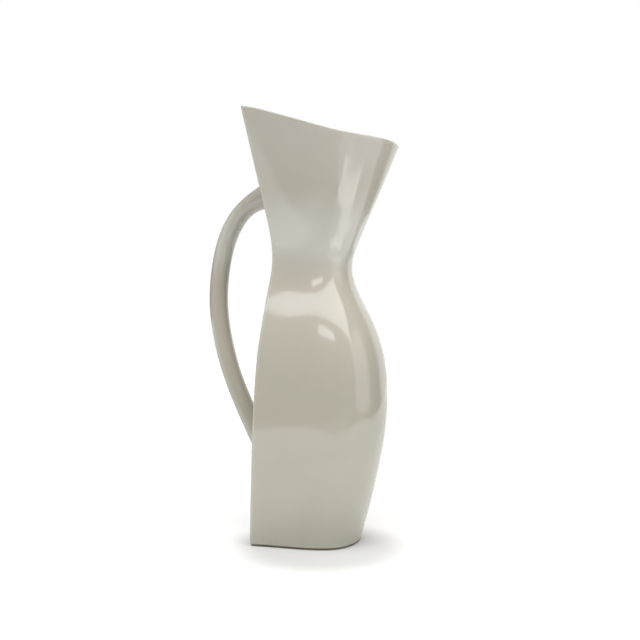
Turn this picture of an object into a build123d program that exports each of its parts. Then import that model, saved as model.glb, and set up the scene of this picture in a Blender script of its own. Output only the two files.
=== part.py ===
"""Tall ceramic pitcher with a D-shaped section, a pinched waist, a scooped rim and a loop handle.

It is hand built: a flat back slab and a curved front wall, mitred together along two sharp corners,
a floor slab, a bare foot ring, clay coils worked into the inside seams, and a pulled handle that is
luted to the back slab with a coil round each root.

Millimetres, +Z up, +X towards the pouring lip, handle on -X. The origin is on the table, under the vessel.
"""
import os

from build123d import *

# Driving dimensions -------------------------------------------------------------------------
WALL = 4.5  # front wall thickness
BACK = 5.0  # back slab thickness
FLOOR = 5.5  # floor slab thickness
FOOT_HEIGHT = 1.6  # bare foot ring under the walls
FOOT_INSET = 1.2  # foot ring set in from the outside of the wall
FOOT_WIDTH = 5.5  # width of the ring that touches the table
FOOT_BEVEL = 0.5  # bevel on the ring where it meets the table
ARRIS = 1.0  # softening of the two sharp back corners
HEM = 0.8  # softening of the lower edge of the walls
MITRE_LEAN = 1.2  # each mitre comes out this far in front of the inside corner, under the coil
RIM_ROUND = 1.5  # rounding of the rim, inside and out
COIL = 4.5  # leg of the clay coil in each inside seam
COIL_HOLLOW = 0.25  # how far its face is pulled in, from the corner, as a share of the legs' sum
COIL_BELOW_RIM = 7.0  # where the two upright coils are smoothed out, below the rim
OVERRUN = 1.0  # how far a cutting block runs past the piece it shapes

# The vessel seen from the side: back slab, nose of the front wall, height.
OUTLINE = [
    (-44.3, 31.4, FOOT_HEIGHT),
    (-42.3, 39.8, 32),
    (-39.8, 48.3, 70),
    (-37.6, 53.2, 110),
    (-35.7, 50.1, 148),
    (-33.6, 39.6, 178),
    (-32.0, 27.9, 202),
    (-30.3, 24.7, 218),
    (-29.8, 29.1, 235),
    (-32.4, 40.8, 262),
    (-37.9, 59.4, 305),
    (-43.7, 79.6, 352),
]
SECTIONS = 26  # sections that the walls are lofted through

# The D-shaped section, as shares of its depth from back to nose.
HALF_WIDTH = 0.518  # half the back slab
FLANK_REACH = 0.46  # how far the flank holds its line from the back corner
# The next two have one value for the body and one for the funnel, which is rounder.
FLANK_TAPER = (0.18, -0.10)  # how much it closes in over that reach, as a share of the half width
NOSE_FULLNESS = (1.12, 0.95)  # how square the nose is, as a share of the half width
BODY_TOP = 200  # the section starts to change here
FUNNEL_FLOOR = 262  # and is the funnel's from here up

# The scooped rim seen from the side: high and level at the back, low and level at the lip.
RIM_POINTS = [(-60, 338.4), (-38, 337.8), (-16, 331.8), (10, 323.8), (36, 316.6), (58, 313.8), (90, 313.6)]
RIM_STOCK = 40  # height of the block above the rim that is cut away
RIM_STOCK_HALF = 100  # half its width

# The handle: centreline seen from the side, from inside the slab at the top to inside the slab below.
HANDLE_ROUTE = [
    (-28, 281),
    (-46, 277),
    (-66.3, 266.8),
    (-80.2, 248.5),
    (-88.9, 219),
    (-91, 190),
    (-87.2, 160),
    (-77.2, 127),
    (-62.5, 95.5),
    (-53, 78.5),
    (-42.5, 66),
    (-30, 58),
]
HANDLE_SECTIONS = 31  # oval sections that the handle is lofted through
GRIP_THICK = 7.2  # half thickness of the oval grip
GRIP_WIDE = 9.2  # half width of the oval grip
ROOT_LENGTH = 46.0  # the handle swells over this length at each end
ROOT_THICK = (9.6, 6.5)  # growth in half thickness at the upper and the lower end
ROOT_WIDE = (4.6, 3.6)  # growth in half width at the upper and the lower end
LUTE_SPREAD = (5.0, 2.4, -0.7)  # growth round a root: inside the slab, at the slab, and where it dies away


def body_to_funnel(pair, height):
    """The value at a height, from the body's and the funnel's."""
    share = min(1, max(0, (height - BODY_TOP) / (FUNNEL_FLOOR - BODY_TOP)))
    return pair[0] + (pair[1] - pair[0]) * share * share * (3 - 2 * share)


def section_points(height, back, nose, back_inset, wall_inset):
    """Control points of one half of the D section, from the back corner to the nose, moved in by the insets."""
    depth = nose - back
    width = HALF_WIDTH * depth
    corner = Vector(back, width)
    shoulder = Vector(back + FLANK_REACH * depth, width * (1 - body_to_funnel(FLANK_TAPER, height)))
    cheek = Vector(nose, width * body_to_funnel(NOSE_FULLNESS, height))
    flank = (shoulder - corner).normalized()
    bulge = (cheek - shoulder).normalized()
    on_flank = corner - flank.rotate(Axis.Z, 90) * wall_inset
    on_bulge = shoulder - bulge.rotate(Axis.Z, 90) * wall_inset
    gap = on_bulge - on_flank
    reach = (gap.X * bulge.Y - gap.Y * bulge.X) / (flank.X * bulge.Y - flank.Y * bulge.X)
    inner_nose = nose - wall_inset
    return (
        on_flank + flank * ((back + back_inset - on_flank.X) / flank.X),
        on_flank + flank * reach,
        on_bulge + bulge * ((inner_nose - on_bulge.X) / bulge.X),
        Vector(inner_nose, 0),
    )


def d_section(height, back, nose, back_inset=0, wall_inset=0):
    """The closed D section as a flat sketch."""
    half = section_points(height, back, nose, back_inset, wall_inset)
    other = [Vector(p.X, -p.Y) for p in reversed(half)]
    with BuildSketch() as section:
        with BuildLine():
            Bezier(*half)
            Bezier(*other)
            Line(other[-1], half[0])
        make_face()
    return section.sketch


def mirrored_polygon(points):
    """A flat polygon from the corners of its +Y half, first and last nearest the middle plane."""
    other = [(p.X, -p.Y) for p in reversed(points)]
    with BuildSketch() as polygon:
        with BuildLine():
            Polyline(*points, *other, close=True)
        make_face()
    return polygon.sketch


outline = Spline(*OUTLINE)
STATIONS = [(p.Z, p.X, p.Y) for p in (outline @ (i / (SECTIONS - 1)) for i in range(SECTIONS))]

# Blocks that the pieces are cut with and from ----------------------------------------------------
with BuildPart() as above_rim:
    with BuildSketch(Plane.XZ):
        with BuildLine():
            rim_curve = Spline(*RIM_POINTS)
            rim_end, rim_start = rim_curve @ 1, rim_curve @ 0
            stock_top = rim_start.Y + RIM_STOCK
            Polyline(rim_end, (rim_end.X, stock_top), (rim_start.X, stock_top), rim_start)
        make_face()
    extrude(amount=RIM_STOCK_HALF, both=True)

with BuildPart() as vessel_outside:
    for height, back, nose in STATIONS:
        with BuildSketch(Plane.XY.offset(height)):
            add(d_section(height, back, nose))
    loft()
    fillet(vessel_outside.faces().sort_by(Axis.X)[0].edges().sort_by(SortBy.LENGTH)[-2:], radius=ARRIS)
    fillet(vessel_outside.faces().sort_by(Axis.Z)[0].outer_wire().edges(), radius=HEM)

with BuildPart() as vessel_inside:
    for height, back, nose in STATIONS:
        with BuildSketch(Plane.XY.offset(height)):
            add(d_section(height, back, nose, BACK, WALL))
    loft()

with BuildPart() as back_zone:
    for height, back, nose in STATIONS:
        corner = section_points(height, back, nose, 0, 0)[0]
        mitre = section_points(height, back, nose, BACK, WALL)[0] + Vector(MITRE_LEAN, 0) - corner
        with BuildSketch(Plane.XY.offset(height)):
            add(mirrored_polygon([corner - mitre * 2, corner + mitre * 2]))
    loft()


def corner_post(side):
    """A tapering post that fills one inside corner, hollowed on the side that faces the middle."""
    with BuildPart() as post:
        for height, back, nose in STATIONS:
            corner, shoulder = section_points(height, back, nose, BACK, WALL)[:2]
            on_flank = corner + (shoulder - corner).normalized() * COIL
            on_back = corner - Vector(0, COIL)
            waist = corner + (on_flank + on_back - corner * 2) * COIL_HOLLOW
            behind = corner * 2 - waist
            corners = [Vector(p.X, p.Y * side) for p in (on_flank, waist, on_back, behind)]
            with BuildSketch(Plane.XY.offset(height)):
                with BuildLine():
                    Bezier(*corners[:3])
                    Polyline(*corners[2:], corners[0])
                make_face()
        loft()
    return post.part


def handle_sections():
    """Plane, half thickness and half width of each oval section along the handle, from the top root down."""
    route = Plane.XZ * Spline(*HANDLE_ROUTE)
    sections = []
    for i in range(HANDLE_SECTIONS):
        share = i / (HANDLE_SECTIONS - 1)
        swell = [max(0, 1 - end * route.length / ROOT_LENGTH) ** 2 for end in (share, 1 - share)]
        thick = GRIP_THICK + sum(grow * s for grow, s in zip(ROOT_THICK, swell))
        wide = GRIP_WIDE + sum(grow * s for grow, s in zip(ROOT_WIDE, swell))
        heading = route % share
        plane = Plane(origin=route @ share, x_dir=heading.cross(Vector(0, 1, 0)), z_dir=heading)
        sections.append((plane, thick, wide))
    return sections


def oval_tube(sections, growth=None):
    """A tube lofted through oval sections, each grown by its share of the growth."""
    with BuildPart() as tube:
        for (plane, thick, wide), grow in zip(sections, growth or [0] * len(sections)):
            with BuildSketch(plane):
                Ellipse(thick + grow, wide + grow)
        loft()
    return tube.part


posts = {side: corner_post(side) for side in (1, -1)}
floor_top = FOOT_HEIGHT + FLOOR

# Walls: one hollow shell, then parted along the mitres --------------------------------------------
with BuildPart() as shell:
    add(vessel_outside.part)
    add(vessel_inside.part, mode=Mode.SUBTRACT)
    add(above_rim.part, mode=Mode.SUBTRACT)
    lowest_rim = min(z for _, z in RIM_POINTS)
    fillet(shell.edges().filter_by(lambda e: e.center().Z > lowest_rim), radius=RIM_ROUND)

with BuildPart() as front_wall:
    add(shell.part)
    add(back_zone.part, mode=Mode.SUBTRACT)

with BuildPart() as back_wall:
    add(shell.part)
    add(back_zone.part, mode=Mode.INTERSECT)

# Base ------------------------------------------------------------------------------------------
foot = STATIONS[0]

with BuildPart() as floor:
    add(vessel_inside.part)
    split(bisect_by=Plane.XY.offset(floor_top), keep=Keep.BOTTOM)

with BuildPart() as foot_ring:
    with BuildSketch():
        add(d_section(*foot, FOOT_INSET, FOOT_INSET))
        add(d_section(*foot, *[FOOT_INSET + FOOT_WIDTH] * 2), mode=Mode.SUBTRACT)
    extrude(amount=FOOT_HEIGHT)
    chamfer(foot_ring.faces().sort_by(Axis.Z)[0].outer_wire().edges(), length=FOOT_BEVEL)

# Coils worked into the inside seams ----------------------------------------------------------------
seam_coils = {}
for name, side in (("seam_coil_left", 1), ("seam_coil_right", -1)):
    with BuildPart() as seam_coil:
        add(vessel_inside.part)
        add(posts[side], mode=Mode.INTERSECT)
        add(above_rim.part.moved(Location((0, 0, -COIL_BELOW_RIM))), mode=Mode.SUBTRACT)
        split(bisect_by=Plane.XY.offset(floor_top), keep=Keep.TOP)
    seam_coils[name] = seam_coil.part

with BuildPart() as floor_coil:
    add(vessel_inside.part)
    split(bisect_by=Plane.XY.offset(floor_top), keep=Keep.TOP)
    split(bisect_by=Plane.XY.offset(floor_top + COIL), keep=Keep.BOTTOM)
    low, next_up = STATIONS[:2]
    for inset in (COIL + OVERRUN, -OVERRUN):
        height = floor_top + COIL - inset
        share = (height - low[0]) / (next_up[0] - low[0])
        back, nose = (low[k] + share * (next_up[k] - low[k]) for k in (1, 2))
        with BuildSketch(Plane.XY.offset(height)):
            add(d_section(height, back, nose, BACK + inset, WALL + inset))
    loft(ruled=True, mode=Mode.SUBTRACT)
    for post in posts.values():
        add(post, mode=Mode.SUBTRACT)

# Handle and the coils that lute it on ---------------------------------------------------------------
ovals = handle_sections()

with BuildPart() as handle:
    add(oval_tube(ovals))
    add(vessel_outside.part, mode=Mode.SUBTRACT)

handle_coils = {}
for name, root in (("upper_handle_coil", ovals[:3]), ("lower_handle_coil", ovals[:-4:-1])):
    with BuildPart() as handle_coil:
        add(oval_tube(root, LUTE_SPREAD))
        add(vessel_outside.part, mode=Mode.SUBTRACT)
        add(handle.part, mode=Mode.SUBTRACT)
    handle_coils[name] = handle_coil.part

# Hand-over: one file for each piece ------------------------------------------------------------------
pieces = {
    "front_wall": front_wall.part,
    "back_wall": back_wall.part,
    "floor": floor.part,
    "foot_ring": foot_ring.part,
    "floor_coil": floor_coil.part,
    "handle": handle.part,
    **seam_coils,
    **handle_coils,
}
os.makedirs("parts", exist_ok=True)
for name, piece in pieces.items():
    piece.label = name
    export_step(piece, f"parts/{name}.step")
    print(f"{name}: {piece.volume / 1000:.1f} cm3, solids {len(piece.solids())}, valid {piece.is_valid}")
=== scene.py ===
"""Glazed ceramic pitcher: walls, pulled handle and bare foot ring, on a white table in soft studio light.

Shapes are worked out in millimetres and turned to metres when a mesh is made.
"""

import math

import bpy
import numpy as np
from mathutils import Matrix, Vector


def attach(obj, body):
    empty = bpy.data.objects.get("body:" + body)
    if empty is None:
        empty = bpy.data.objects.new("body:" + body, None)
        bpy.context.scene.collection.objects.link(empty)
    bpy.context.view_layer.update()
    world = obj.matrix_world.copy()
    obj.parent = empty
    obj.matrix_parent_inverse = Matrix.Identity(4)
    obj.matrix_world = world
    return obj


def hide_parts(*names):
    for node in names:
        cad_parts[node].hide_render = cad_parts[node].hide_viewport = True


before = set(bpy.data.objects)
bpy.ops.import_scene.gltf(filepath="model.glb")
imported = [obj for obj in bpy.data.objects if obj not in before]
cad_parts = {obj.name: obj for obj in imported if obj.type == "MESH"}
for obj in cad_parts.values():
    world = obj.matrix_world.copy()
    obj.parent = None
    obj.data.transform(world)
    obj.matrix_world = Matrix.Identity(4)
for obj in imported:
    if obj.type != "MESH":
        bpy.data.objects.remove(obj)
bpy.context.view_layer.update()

MM = 0.001

# The clay body --------------------------------------------------------------------------------
WALL = 4.5  # front wall thickness
BACK = 5.0  # back slab thickness
FLOOR_TOP = 7.1  # top of the floor slab
FOOT_HEIGHT = 1.6  # the walls start this high, on the foot ring
ARRIS = 1.7  # how far the rounding of a sharp back corner reaches along each face
HEM = 0.9  # the same at the lower edge of the walls
RIM_ROUND = 1.6  # the same at the rim, inside and out
COIL = 4.5  # the same in the inside seams, where coils are worked in
COIL_AT_RIM = 1.4  # the seam coils die away to this at the rim
COIL_FADE = 16.0  # over this height
MIDDLE = -4.0  # the middle of the floor, from back to nose

# Seen from the side: back slab, nose of the front wall, height.
OUTLINE = [
    (-44.3, 31.4, FOOT_HEIGHT),
    (-42.3, 39.8, 32),
    (-39.8, 48.3, 70),
    (-37.6, 53.2, 110),
    (-35.7, 50.1, 148),
    (-33.6, 39.6, 178),
    (-32.0, 27.9, 202),
    (-30.3, 24.7, 218),
    (-29.8, 29.1, 235),
    (-32.4, 40.8, 262),
    (-37.9, 59.4, 305),
    (-43.7, 79.6, 352),
]
HALF_WIDTH = 0.518  # half the back slab, as a share of the depth from back to nose
FLANK_REACH = 0.46  # how far the flank holds its line from the back corner
# The next two have one value for the body and one for the funnel, which is rounder.
FLANK_TAPER = (0.18, -0.10)  # how much the flank closes in over that reach
NOSE_FULLNESS = (1.12, 0.95)  # how square the nose is
BODY_TOP = 200  # the section starts to change here
FUNNEL_FLOOR = 262  # and is the funnel's from here up

# The scooped rim, seen from the side.
RIM_LINE = [(-60, 338.4), (-38, 337.8), (-16, 331.8), (10, 323.8), (36, 316.6), (58, 313.8), (90, 313.6)]

# The handle's centreline, seen from the side, and its swelling at the roots.
HANDLE_ROUTE = [
    (-28, 281),
    (-46, 277),
    (-66.3, 266.8),
    (-80.2, 248.5),
    (-88.9, 219),
    (-91, 190),
    (-87.2, 160),
    (-77.2, 127),
    (-62.5, 95.5),
    (-53, 78.5),
    (-42.5, 66),
    (-30, 58),
]
GRIP_THICK = 7.2
GRIP_WIDE = 9.2
ROOT_LENGTH = 46.0
ROOT_THICK = (9.6, 6.5)
ROOT_WIDE = (4.6, 3.6)
LUTE_ALONG = 11.0  # the luting starts to flare this far from the slab
LUTE_OUT = 5.0  # and reaches this far out over it
LUTE_SINK = 1.5  # the handle goes this far into the slab

# How finely the skins are divided.
SLAB_STEPS = 18
CORNER_STEPS = 7
FLANK_STEPS = 78
OUTSIDE_HOOPS = 190
INSIDE_HOOPS = 120
UNDER_SHARES = (0.12, 0.3, 0.5, 0.7, 0.86, 0.95)  # hoops under the walls, as shares of the way out
FLOOR_SHARES = (0.97, 0.88, 0.74, 0.56, 0.36, 0.16)  # and on the floor, going in
RIM_STEPS = 4
HEM_STEPS = 3
SEAM_STEPS = 5
ROUTE_STEPS = 241
GRIP_STEPS = 56
FREE_HOOPS = 120
LUTE_STEPS = 12


class SmoothLine:
    """A smooth line through points, followed by the distance along its chords."""

    def __init__(self, points):
        self.points = np.array(points, float)
        chords = np.linalg.norm(np.diff(self.points, axis=0), axis=1)
        self.knots = np.concatenate([[0], np.cumsum(chords)])
        self.length = self.knots[-1]
        steps = chords[:, None]
        slopes = np.diff(self.points, axis=0) / steps
        count = len(self.points)
        system = np.eye(count)
        wanted = np.zeros_like(self.points)
        wanted[0] = self.end_slope(self.knots[:4], self.points[:4])
        wanted[-1] = self.end_slope(self.knots[:-5:-1], self.points[:-5:-1])
        for i in range(1, count - 1):
            before, after = chords[i - 1], chords[i]
            system[i, i - 1 : i + 2] = after, 2 * (before + after), before
            wanted[i] = 3 * (after * slopes[i - 1] + before * slopes[i])
        self.headings = np.linalg.solve(system, wanted)

    @staticmethod
    def end_slope(knots, points):
        """Heading at an end, from the cubic through the four points nearest to it."""
        return np.polyfit(knots - knots[0], points, 3)[-2]

    def at(self, distance):
        """The points at distances along the chords."""
        place = np.clip(distance, 0, self.length)
        i = np.clip(np.searchsorted(self.knots, place, side="right") - 1, 0, len(self.knots) - 2)
        step = (self.knots[i + 1] - self.knots[i])[..., None]
        t = (place - self.knots[i])[..., None] / step
        start = self.points[i] * (1 + 2 * t) * (1 - t) ** 2 + self.headings[i] * step * t * (1 - t) ** 2
        end = self.points[i + 1] * (3 - 2 * t) * t**2 + self.headings[i + 1] * step * (t - 1) * t**2
        return start + end

    def evenly(self, count):
        """That many points, evenly spaced."""
        return self.at(np.linspace(0, self.length, count))


FINE = 4000  # points along a line that is read by height or depth
profile = SmoothLine(OUTLINE).evenly(FINE)
rim_line = SmoothLine(RIM_LINE).evenly(FINE // 2)


def back_and_nose(height):
    """Where the back slab and the nose are at a height."""
    return np.interp(height, profile[:, 2], profile[:, 0]), np.interp(height, profile[:, 2], profile[:, 1])


def rim_height(depth):
    """How high the rim is at a depth from back to nose."""
    return np.interp(depth, rim_line[:, 0], rim_line[:, 1])


def point2(x, y):
    """Points in a plane from two numbers or rows of numbers."""
    return np.stack(np.broadcast_arrays(x, y), axis=-1).astype(float)


def unit(vectors):
    """The same vectors, one long."""
    return vectors / np.linalg.norm(vectors, axis=-1, keepdims=True)


def left_of(vectors):
    """The same vectors, a quarter turn to the left."""
    return np.stack([-vectors[..., 1], vectors[..., 0]], axis=-1)


def body_to_funnel(pair, height):
    """The value at a height, from the body's and the funnel's."""
    share = np.clip((height - BODY_TOP) / (FUNNEL_FLOOR - BODY_TOP), 0, 1)
    return pair[0] + (pair[1] - pair[0]) * share * share * (3 - 2 * share)


def section_corners(height, back_inset, wall_inset):
    """The four points that shape one half of the D section, back corner first, moved in by the insets."""
    back, nose = back_and_nose(height)
    depth = nose - back
    width = HALF_WIDTH * depth
    corner = point2(back, width)
    shoulder = point2(back + FLANK_REACH * depth, width * (1 - body_to_funnel(FLANK_TAPER, height)))
    cheek = point2(nose, width * body_to_funnel(NOSE_FULLNESS, height))
    flank = unit(shoulder - corner)
    bulge = unit(cheek - shoulder)
    on_flank = corner - left_of(flank) * wall_inset
    on_bulge = shoulder - left_of(bulge) * wall_inset
    gap = on_bulge - on_flank
    cross = flank[..., 0] * bulge[..., 1] - flank[..., 1] * bulge[..., 0]
    reach = ((gap[..., 0] * bulge[..., 1] - gap[..., 1] * bulge[..., 0]) / cross)[..., None]
    to_back = ((back + back_inset - on_flank[..., 0]) / flank[..., 0])[..., None]
    to_nose = ((nose - wall_inset - on_bulge[..., 0]) / bulge[..., 0])[..., None]
    return (
        on_flank + flank * to_back,
        on_flank + flank * reach,
        on_bulge + bulge * to_nose,
        point2(nose - wall_inset, 0),
    )


def bend(start, middle, end, t):
    """A curve from start to end that leaves and arrives towards the middle point."""
    return start * (1 - t) ** 2 + middle * 2 * t * (1 - t) + end * t**2


def wall_points(around, height, back_inset, wall_inset, rounding):
    """Points on a face of the walls. around is 0 at the middle of the back, 1 and 2 at the ends of the
    corner's rounding and 3 at the nose, and its sign is the side of the vessel."""
    place = np.abs(around)
    corner, shoulder, cheek, tip = section_corners(height, back_inset, wall_inset)
    slab_end = corner - point2(0, rounding)
    skipped = rounding / (3 * np.linalg.norm(shoulder - corner, axis=-1))

    def flank_at(t):
        t = t[..., None]
        return (
            corner * (1 - t) ** 3
            + shoulder * 3 * t * (1 - t) ** 2
            + cheek * 3 * t**2 * (1 - t)
            + tip * t**3
        )

    on_slab = slab_end * point2(1, np.clip(place, 0, 1))
    on_corner = bend(slab_end, corner, flank_at(skipped), np.clip(place - 1, 0, 1)[..., None])
    on_flank = flank_at(skipped + (1 - skipped) * np.clip(place - 2, 0, 1))
    place = place[..., None]
    flat = np.where(place <= 1, on_slab, np.where(place <= 2, on_corner, on_flank))
    side = np.where(around < 0, -1, 1)
    return np.stack([flat[..., 0], flat[..., 1] * side, np.broadcast_to(height, side.shape)], axis=-1)


def columns_around(slab, corner, flank):
    """Places round the vessel, with that many steps on half the slab, on a corner and on a flank."""
    on_slab = np.sin(np.linspace(0, math.pi / 2, slab + 1))
    on_corner = np.linspace(1, 2, corner + 1)
    share = np.linspace(0, 1, flank + 1)
    on_flank = 2 + 0.6 * share + 0.4 * share**2  # closer together near the corner
    half = np.concatenate([on_slab[:-1], on_corner[:-1], on_flank])
    return np.concatenate([half, -half[-2:0:-1]])


MID_RIM = 325.0  # a height to start from
RIM_PASSES = 12


def height_at_rim(around, back_inset, wall_inset, rounding):
    """How high each column of a wall face goes, to the scooped rim."""
    height = np.full(around.shape, MID_RIM)
    for _ in range(RIM_PASSES):
        height = rim_height(wall_points(around, height, back_inset, wall_inset, rounding)[:, 0])
    return height


def hoops_between(start, middle, end, count):
    """Hoops of points that turn from start to end round the middle, without the two ends."""
    return [bend(start, middle, end, t) for t in np.linspace(0, 1, count + 2)[1:-1]]


def closed_form(name, hoops, first_centre, last_centre):
    """A closed mesh through hoops of points, each of the same count, with a fan to a centre at each end."""
    count = len(hoops[0])
    points = np.concatenate([np.concatenate(hoops), [first_centre, last_centre]]) * MM
    here = np.arange(count)
    following = (here + 1) % count
    faces = []
    for k in range(len(hoops) - 1):
        low, high = k * count, (k + 1) * count
        faces += np.stack([low + here, low + following, high + following, high + here], 1).tolist()
    last = (len(hoops) - 1) * count
    faces += np.stack([following, here, np.full(count, len(hoops) * count)], 1).tolist()
    faces += np.stack([last + here, last + following, np.full(count, len(hoops) * count + 1)], 1).tolist()
    mesh = bpy.data.meshes.new(name)
    mesh.from_pydata(points.tolist(), [], faces)
    mesh.validate()
    mesh.shade_smooth()
    piece = bpy.data.objects.new(name, mesh)
    bpy.context.scene.collection.objects.link(piece)
    volume = 0.0
    for face in faces:
        for second, third in zip(face[1:-1], face[2:]):
            volume += points[face[0]].dot(np.cross(points[second], points[third]))
    if volume < 0:
        mesh.flip_normals()
    return piece


def shrunk(hoop, centre, share):
    """A hoop drawn in to a share of its distance from a centre."""
    return centre + (hoop - centre) * share


def paint_mask(piece, name, values):
    """Stores a number for each point of the piece, for its glaze to read."""
    mask = piece.data.attributes.new(name, "FLOAT", "POINT")
    mask.data.foreach_set("value", np.clip(values, 0, 1).astype(np.float32))


# How far the glaze's changes reach from an edge or a seam.
THIN_AT_CORNER = 1.8
THIN_AT_RIM = 1.6
THIN_AT_HEM = 1.2
GATHERED_LOW = 14.0
GATHERED_AT_ROOTS = 5.0


def glazed_walls():
    """Front wall, back slab, floor and their worked-in seams, under one coat of glaze."""
    around = columns_around(SLAB_STEPS, CORNER_STEPS, FLANK_STEPS)
    outside = dict(back_inset=0.0, wall_inset=0.0, rounding=ARRIS)

    # Outside, from the hem up to the rim.
    top = height_at_rim(around, **outside)
    start = FOOT_HEIGHT + HEM
    rises = [start + (top - RIM_ROUND - start) * share for share in np.linspace(0, 1, OUTSIDE_HOOPS)]
    outer = [wall_points(around, height, **outside) for height in rises]
    hem_corner = wall_points(around, np.full(around.shape, FOOT_HEIGHT), **outside)
    centre = np.array([MIDDLE, 0, FOOT_HEIGHT])
    hem_inside = wall_points(around, np.full(around.shape, FOOT_HEIGHT), HEM, HEM, ARRIS)
    hem = hoops_between(hem_inside, hem_corner, outer[0], HEM_STEPS)
    under = [shrunk(hem_inside, centre, share) for share in UNDER_SHARES]

    # Inside, from the rim down to the seam with the floor.
    def inner_hoop(height):
        fade = np.clip((top - height) / COIL_FADE, 0, 1)
        rounding = COIL_AT_RIM + (COIL - COIL_AT_RIM) * fade * fade * (3 - 2 * fade)
        return wall_points(around, height, BACK, WALL, rounding)

    inner_top = height_at_rim(around, BACK, WALL, COIL_AT_RIM)
    low = FLOOR_TOP + COIL
    high = inner_top - RIM_ROUND
    drops = [high - (high - low) * share for share in np.linspace(0, 1, INSIDE_HOOPS)]
    inner = [inner_hoop(height) for height in drops]
    seam_corner = inner_hoop(np.full(around.shape, FLOOR_TOP))
    middle = np.array([MIDDLE, 0, FLOOR_TOP])
    inward = unit(middle - seam_corner)
    on_floor = seam_corner + inward * COIL
    seam = hoops_between(inner[-1], seam_corner, on_floor, SEAM_STEPS)
    floor = [shrunk(on_floor, middle, share) for share in FLOOR_SHARES]

    # Over the rim.
    outer_edge = wall_points(around, top, **outside)
    inner_edge = wall_points(around, inner_top, BACK, WALL, COIL_AT_RIM)
    across = unit(inner_edge - outer_edge)
    out_flat = outer_edge + across * RIM_ROUND
    in_flat = inner_edge - across * RIM_ROUND
    rim = hoops_between(outer[-1], outer_edge, out_flat, RIM_STEPS)
    rim += [out_flat, (out_flat + in_flat) / 2, in_flat]
    rim += hoops_between(in_flat, inner_edge, inner[0], RIM_STEPS)

    hoops = under + [hem_inside] + hem + outer + rim + inner + seam + [on_floor] + floor
    piece = closed_form("glazed_walls", hoops, centre, middle)

    # Where the glaze breaks thin: along the back corners, at the rim and at the hem.
    points = np.concatenate(hoops)
    back, nose = back_and_nose(points[:, 2])
    corner_gap = np.hypot(points[:, 0] - back, np.abs(points[:, 1]) - HALF_WIDTH * (nose - back))
    rim_gap = np.abs(rim_height(points[:, 0]) - points[:, 2])
    hem_gap = np.abs(points[:, 2] - FOOT_HEIGHT)
    thin = np.exp(-((corner_gap / THIN_AT_CORNER) ** 2)) + np.exp(-rim_gap / THIN_AT_RIM)
    thin += 0.7 * np.exp(-hem_gap / THIN_AT_HEM)
    paint_mask(piece, "thin_glaze", np.append(thin, [0, 0]))

    # Where it runs and gathers, low on the walls.
    gathered = 0.6 * np.exp(-hem_gap / GATHERED_LOW)
    paint_mask(piece, "gathered_glaze", np.append(gathered, [0, 0]))
    return piece


def strand_at(strand, along, where):
    """Points on a strand at distances along it."""
    return np.stack([np.interp(where, along, strand[:, i]) for i in range(3)], axis=-1)


def luted_end(foot, root_height):
    """Where a strand meets the slab at its foot, it flares out over the slab, away from the root's middle,
    and then goes in."""
    away = np.array([foot[1], foot[2] - root_height])
    away = away / np.linalg.norm(away)
    spread = foot + np.array([0, away[0], away[1]]) * LUTE_OUT
    spread[0] = back_and_nose(spread[2])[0]
    sunk = spread + np.array([LUTE_SINK, 0, 0])
    return spread, sunk


def pulled_handle():
    """The oval handle, each end spread out over the slab where it is luted on."""
    route = SmoothLine(HANDLE_ROUTE)
    distance = np.linspace(0, route.length, ROUTE_STEPS)
    centre = route.at(distance)
    heading = unit(np.gradient(centre, axis=0))
    out = left_of(heading)
    swell = [np.maximum(0, 1 - end / ROOT_LENGTH) ** 2 for end in (distance, route.length - distance)]
    thick = GRIP_THICK + sum(grow * share for grow, share in zip(ROOT_THICK, swell))
    wide = GRIP_WIDE + sum(grow * share for grow, share in zip(ROOT_WIDE, swell))
    angle = np.linspace(0, 2 * math.pi, GRIP_STEPS, endpoint=False)
    flat = centre[:, None] + (out * thick[:, None])[:, None] * np.cos(angle)[None, :, None]
    surface = np.stack([flat[..., 0], wide[:, None] * np.sin(angle), flat[..., 1]], axis=-1)

    # The heights of the two roots, where the centreline meets the slab.
    half = ROUTE_STEPS // 2
    centre_gap = back_and_nose(centre[:, 1])[0] - centre[:, 0]
    upper_root = np.interp(0, centre_gap[:half], centre[:half, 1])
    lower_root = np.interp(0, -centre_gap[half:], centre[half:, 1])

    strands = []
    turn = np.linspace(0, 1, LUTE_STEPS)[1:, None]
    for k in range(GRIP_STEPS):
        strand = surface[:, k]
        gap = back_and_nose(strand[:, 2])[0] - strand[:, 0]  # more than nothing outside the slab
        along = np.concatenate([[0], np.cumsum(np.linalg.norm(np.diff(strand, axis=0), axis=1))])
        first = np.interp(0, gap[:half], along[:half])
        last = np.interp(0, -gap[half:], along[half:])
        free = strand_at(strand, along, np.linspace(first + LUTE_ALONG, last - LUTE_ALONG, FREE_HOOPS))
        ends = []
        for crossing, start, root_height in ((first, free[0], upper_root), (last, free[-1], lower_root)):
            foot = strand_at(strand, along, np.array([crossing]))[0]
            spread, sunk = luted_end(foot, root_height)
            ends.append(np.concatenate([bend(start, foot, spread, turn), [sunk]]))
        strands.append(np.concatenate([ends[0][::-1], free, ends[1]]))
    hoops = list(np.array(strands).transpose(1, 0, 2))
    piece = closed_form("pulled_handle", hoops, hoops[0].mean(0), hoops[-1].mean(0))
    points = np.concatenate(hoops)
    gap = np.abs(back_and_nose(points[:, 2])[0] - points[:, 0])
    paint_mask(piece, "thin_glaze", np.zeros(len(points) + 2))
    paint_mask(piece, "gathered_glaze", np.append(np.exp(-gap / GATHERED_AT_ROOTS), [0, 0]))
    return piece


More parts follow.
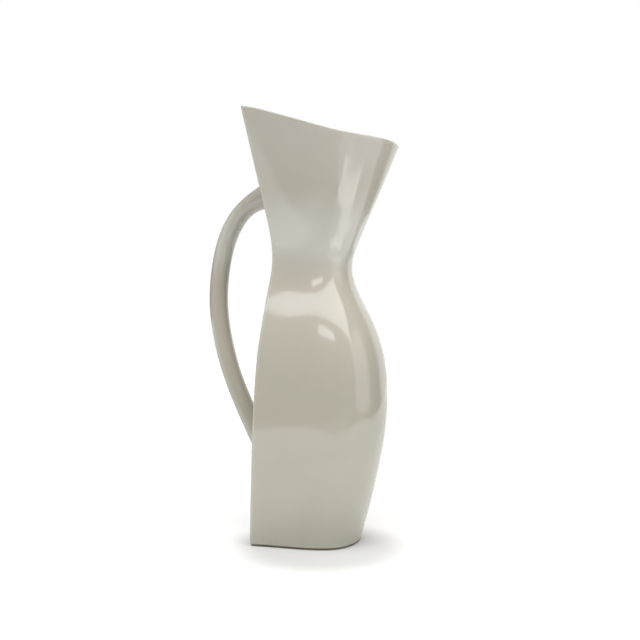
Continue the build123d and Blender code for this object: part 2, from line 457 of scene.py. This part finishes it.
# Shader maths -----------------------------------------------------------------------------------
class Value:
    """A number that varies over a surface. Arithmetic on it adds Math nodes."""

    def __init__(self, recipe, socket):
        self.recipe = recipe
        self.socket = socket

    def math(self, operation, *inputs):
        node = self.recipe.node("ShaderNodeMath", {"operation": operation}, dict(enumerate(inputs)))
        return Value(self.recipe, node.outputs[0])

    def __add__(self, other):
        return self.math("ADD", self, other)

    __radd__ = __add__

    def __sub__(self, other):
        return self.math("SUBTRACT", self, other)

    def __rsub__(self, other):
        return self.math("SUBTRACT", other, self)

    def __mul__(self, other):
        return self.math("MULTIPLY", self, other)

    __rmul__ = __mul__

    def between(self, low, high):
        """0 below low, 1 above high, and a smooth step from one to the other."""
        node = self.recipe.node(
            "ShaderNodeMapRange",
            {"interpolation_type": "SMOOTHSTEP"},
            {"Value": self, "From Min": low, "From Max": high},
        )
        return Value(self.recipe, node.outputs["Result"])


class Recipe:
    """The nodes of one material or of the world."""

    def __init__(self, owner):
        owner.use_nodes = True
        self.tree = owner.node_tree
        self.tree.nodes.clear()

    def node(self, kind, settings=None, inputs=None):
        """A node, with its settings made first and then its sockets, each given a number, colour or link."""
        made = self.tree.nodes.new(kind)
        for setting, value in (settings or {}).items():
            setattr(made, setting, value)
        for key, value in (inputs or {}).items():
            socket = made.inputs[key]
            if isinstance(value, Value):
                self.tree.links.new(value.socket, socket)
            elif isinstance(value, bpy.types.NodeSocket):
                self.tree.links.new(value, socket)
            else:
                socket.default_value = value
        return made

    def noise(self, place, scale, detail):
        """Soft noise, with that many waves to the metre."""
        made = self.node("ShaderNodeTexNoise", {}, {"Vector": place, "Scale": scale, "Detail": detail})
        return Value(self, made.outputs["Fac"])

    def height(self, place):
        """How high a place is."""
        return Value(self, self.node("ShaderNodeSeparateXYZ", {}, {"Vector": place}).outputs["Z"])

    def length(self, place, start):
        """How far a place is from the start."""
        apart = self.node("ShaderNodeVectorMath", {"operation": "SUBTRACT"}, {0: place, 1: start})
        made = self.node("ShaderNodeVectorMath", {"operation": "LENGTH"}, {0: apart.outputs["Vector"]})
        return Value(self, made.outputs["Value"])

    def mask(self, name):
        """A number that was stored for each point of the piece."""
        made = self.node("ShaderNodeAttribute", {"attribute_name": name})
        return Value(self, made.outputs["Fac"])

    def blend(self, share, first, second):
        """A colour that goes from the first to the second."""
        factor, start, end, result = 0, 6, 7, 2  # the sockets of a Mix node that mixes colours
        made = self.node("ShaderNodeMix", {"data_type": "RGBA"}, {factor: share, start: first, end: second})
        return made.outputs[result]


def colour(red, green, blue):
    """An opaque colour, in linear light."""
    return (red, green, blue, 1.0)


IVORY = colour(0.462, 0.432, 0.368)  # the glaze at its usual thickness
OLIVE_IVORY = colour(0.424, 0.410, 0.338)  # a little more of it, and low on the body a painted reflection
THICK_GLAZE = colour(0.375, 0.372, 0.302)  # where it gathers
THIN_GLAZE_AND_PAINTED_LIGHT = colour(0.560, 0.545, 0.490)  # where it breaks over an edge, and the painted light that makes the waist and mouth paler
PINHOLE = colour(0.330, 0.290, 0.230)
DARK_CLAY = colour(0.20, 0.165, 0.12)
PALE_CLAY = colour(0.265, 0.22, 0.165)
GROG = colour(0.11, 0.085, 0.06)  # coarse grains of fired clay


def ivory_glaze():
    """Warm ivory gloss glaze over pale clay: cloudy in tone, thin over edges and more olive where it
    gathers.
    Painted light makes the waist and mouth paler, and a painted reflection makes it more olive low down."""
    material = bpy.data.materials.new("ivory_glaze")
    recipe = Recipe(material)
    place = recipe.node("ShaderNodeTexCoord").outputs["Object"]
    clouds = recipe.noise(place, 14.0, 3.0).between(0.36, 0.66)
    mottle = recipe.noise(place, 95.0, 3.0).between(0.35, 0.7)
    thin = recipe.mask("thin_glaze")
    gathered = recipe.mask("gathered_glaze")
    height_up = recipe.height(place)
    # Painted reflection: more olive and a little darker low on the body.
    painted_reflection_low = 1.0 - height_up.between(0.10, 0.16)
    # Painted light: the waist and the mouth are made paler.
    painted_light_at_waist = height_up.between(0.205, 0.235) * (1.0 - height_up.between(0.245, 0.28))
    painted_light_at_mouth = height_up.between(0.27, 0.33)
    # Cloudy tone, with the painted reflection low down.
    tone = recipe.blend(0.5 * clouds + 0.2 * mottle + 0.3 * painted_reflection_low, IVORY, OLIVE_IVORY)
    # Here the painted light goes in, paler at the waist and the mouth.
    tone = recipe.blend(0.85 * painted_light_at_waist + 0.3 * painted_light_at_mouth, tone, THIN_GLAZE_AND_PAINTED_LIGHT)
    tone = recipe.blend(gathered * (0.55 + 0.3 * clouds), tone, THICK_GLAZE)
    tone = recipe.blend(thin * (0.55 + 0.3 * mottle), tone, THIN_GLAZE_AND_PAINTED_LIGHT)
    speck = recipe.noise(place, 520.0, 1.0).between(0.79, 0.83)
    tone = recipe.blend(0.5 * speck, tone, PINHOLE)
    haze = 0.075 + 0.03 * clouds + 0.02 * mottle + 0.06 * thin
    slow_wave = recipe.noise(place, 22.0, 1.0)
    ripple = recipe.noise(place, 150.0, 2.0)
    relief = slow_wave + 0.06 * ripple - 0.05 * speck
    bump = recipe.node("ShaderNodeBump", {}, {"Strength": 0.35, "Distance": 0.0016, "Height": relief})
    surface = recipe.node(
        "ShaderNodeBsdfPrincipled",
        {},
        {"Base Color": tone, "Roughness": haze, "Normal": bump.outputs["Normal"], "IOR": 1.65},
    )
    recipe.node("ShaderNodeOutputMaterial", {}, {"Surface": surface.outputs["BSDF"]})
    return material


def bare_clay():
    """Unglazed fired clay, fine grained, cloudy and speckled with grog."""
    material = bpy.data.materials.new("bare_clay")
    recipe = Recipe(material)
    place = recipe.node("ShaderNodeTexCoord").outputs["Object"]
    grain = recipe.noise(place, 1400.0, 3.0)
    clouds = recipe.noise(place, 60.0, 3.0).between(0.35, 0.65)
    grog = recipe.noise(place, 420.0, 2.0).between(0.62, 0.7)
    tone = recipe.blend(clouds, DARK_CLAY, PALE_CLAY)
    tone = recipe.blend(0.6 * grog, tone, GROG)
    bump = recipe.node("ShaderNodeBump", {}, {"Strength": 0.5, "Distance": 0.0003, "Height": grain})
    surface = recipe.node(
        "ShaderNodeBsdfPrincipled",
        {},
        {"Base Color": tone, "Roughness": 0.78 + 0.15 * grain, "Normal": bump.outputs["Normal"]},
    )
    recipe.node("ShaderNodeOutputMaterial", {}, {"Surface": surface.outputs["BSDF"]})
    return material


# The pieces --------------------------------------------------------------------------------------
glaze = ivory_glaze()
clay = bare_clay()

walls = glazed_walls()
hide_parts("front_wall", "back_wall", "floor", "floor_coil", "seam_coil_left", "seam_coil_right")
handle = pulled_handle()
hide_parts("handle", "upper_handle_coil", "lower_handle_coil")
for piece in (walls, handle):
    piece.data.materials.append(glaze)
    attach(piece, "root")

foot_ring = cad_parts["foot_ring"]
foot_ring.data.materials.clear()
foot_ring.data.materials.append(clay)

# The studio --------------------------------------------------------------------------------------
FRONT_OF_FOOT = (0.01, -0.025, 0.0)  # the soft shadow lies round this point
SHADOW_EDGE = (0.04, 0.09)  # it fades out between these distances from there
LAMPS_REACH = (0.4, 1.6)  # the light of the lamps falls off between these
NO_GLOW = colour(0.0, 0.0, 0.0)
TABLE_GLOW = colour(0.42, 0.42, 0.42)  # outside the shadow
FAR_GLOW = colour(1.02, 1.02, 1.02)  # where the lamps no longer reach
WHITE = colour(1.0, 1.0, 1.0)
PAPER = colour(0.635, 0.635, 0.632)
TABLE_EDGE = [(0.46, -0.14), (0.46, 2.2), (-2.4, 2.2), (-2.4, -1.95)]


def white_table():
    """A matt white sheet under the vessel, its front edge slanting past it. It glows outside the soft
    shadow, so that it is as white as the surroundings."""
    mesh = bpy.data.meshes.new("white_table")
    mesh.from_pydata([(x, y, 0.0) for x, y in TABLE_EDGE], [], [tuple(range(len(TABLE_EDGE)))])
    table = bpy.data.objects.new("white_table", mesh)
    bpy.context.scene.collection.objects.link(table)
    material = bpy.data.materials.new("white_paper")
    recipe = Recipe(material)
    place = recipe.node("ShaderNodeTexCoord").outputs["Object"]
    reach = recipe.length(place, FRONT_OF_FOOT)
    matt = recipe.node("ShaderNodeBsdfDiffuse", {}, {"Color": PAPER})
    lit = recipe.blend(reach.between(*SHADOW_EDGE), NO_GLOW, TABLE_GLOW)
    lit = recipe.blend(reach.between(*LAMPS_REACH), lit, FAR_GLOW)
    glow = recipe.node("ShaderNodeEmission", {}, {"Color": lit, "Strength": 1.0})
    both = recipe.node("ShaderNodeAddShader", {}, {0: matt.outputs[0], 1: glow.outputs[0]})
    recipe.node("ShaderNodeOutputMaterial", {}, {"Surface": both.outputs[0]})
    mesh.materials.append(material)


def softbox(name, place, aim, width, height, brightness):
    """A soft rectangular light. Brightness is its own, with white paper in full light as 1."""
    lamp = bpy.data.lights.new(name, "AREA")
    lamp.shape = "RECTANGLE"
    lamp.size = width
    lamp.size_y = height
    lamp.energy = brightness * math.pi * width * height
    light = bpy.data.objects.new(name, lamp)
    light.location = place
    light.rotation_euler = (Vector(aim) - Vector(place)).to_track_quat("-Z", "Y").to_euler()
    light.visible_camera = False
    bpy.context.scene.collection.objects.link(light)
    return light


CEILING = 0.27
BACKDROP = 1.1
BEHIND = (-0.087, 0.996)  # the way to the bright wall
ROOM_TONE = colour(1.0, 0.985, 0.95)


def studio_surroundings():
    """White to the camera. The surfaces see a dark room with a dim ceiling and a bright wall behind."""
    world = bpy.data.worlds.new("studio")
    bpy.context.scene.world = world
    recipe = Recipe(world)
    direction = recipe.node("ShaderNodeTexCoord").outputs["Generated"]
    parts = recipe.node("ShaderNodeSeparateXYZ", {}, {"Vector": direction}).outputs
    x, y, z = (Value(recipe, part) for part in parts)
    behind = (BEHIND[1] * y + BEHIND[0] * x).between(0.72, 0.86) * z.between(-0.2, -0.05)
    strength = CEILING * z.between(0.05, 0.45) + BACKDROP * behind
    seen = recipe.node("ShaderNodeBackground", {}, {"Color": WHITE})
    unseen = recipe.node("ShaderNodeBackground", {}, {"Color": ROOM_TONE, "Strength": strength})
    camera_ray = recipe.node("ShaderNodeLightPath").outputs["Is Camera Ray"]
    mix = recipe.node("ShaderNodeMixShader", {}, {0: camera_ray, 1: unseen.outputs[0], 2: seen.outputs[0]})
    recipe.node("ShaderNodeOutputWorld", {}, {"Surface": mix.outputs[0]})


white_table()
studio_surroundings()
SHOULDER = (0.01, -0.03, 0.19)
FUNNEL = (0.03, 0.0, 0.28)
UNDER_SIDE = (0.44, -0.04, 0.13)
softbox("window", (0.148, -0.439, 1.0), SHOULDER, width=1.545, height=1.0, brightness=3.2)
softbox("low_window", (0.117, -1.019, 0.659), SHOULDER, width=0.41, height=0.10, brightness=3.6)
softbox("overhead", (0.1, 0.75, 1.5), SHOULDER, width=1.4, height=1.2, brightness=0.8)
softbox("side", (1.1, -0.15, 0.35), SHOULDER, width=1.0, height=0.9, brightness=1.0)
card = softbox("card", (0.988, -0.449, -0.35), SHOULDER, width=0.21, height=0.93, brightness=2.4)
card.rotation_euler = (math.pi, 0, math.radians(-27.5))  # it lies flat, face up, past the table's edge
softbox("under_side", UNDER_SIDE, (0.44, -0.04, 1.0), width=0.50, height=0.60, brightness=0.95)
softbox("under_front", (0.0, -1.6, -0.45), FUNNEL, width=2.8, height=0.5, brightness=0.4)

# The camera -------------------------------------------------------------------------------------
AZIMUTH = math.radians(21)
DISTANCE = 0.720
CAMERA_HEIGHT = 0.1861

camera_data = bpy.data.cameras.new("camera")
camera_data.sensor_width = 36.0
camera_data.lens = 50.6
camera_data.shift_y = -0.0205
camera_data.shift_x = -0.0008
camera = bpy.data.objects.new("camera", camera_data)
camera.location = (DISTANCE * math.sin(AZIMUTH), -DISTANCE * math.cos(AZIMUTH), CAMERA_HEIGHT)
camera.rotation_euler = (math.pi / 2, 0, AZIMUTH)
bpy.context.scene.collection.objects.link(camera)
bpy.context.scene.camera = camera
bpy.context.scene.view_settings.view_transform = "Standard"
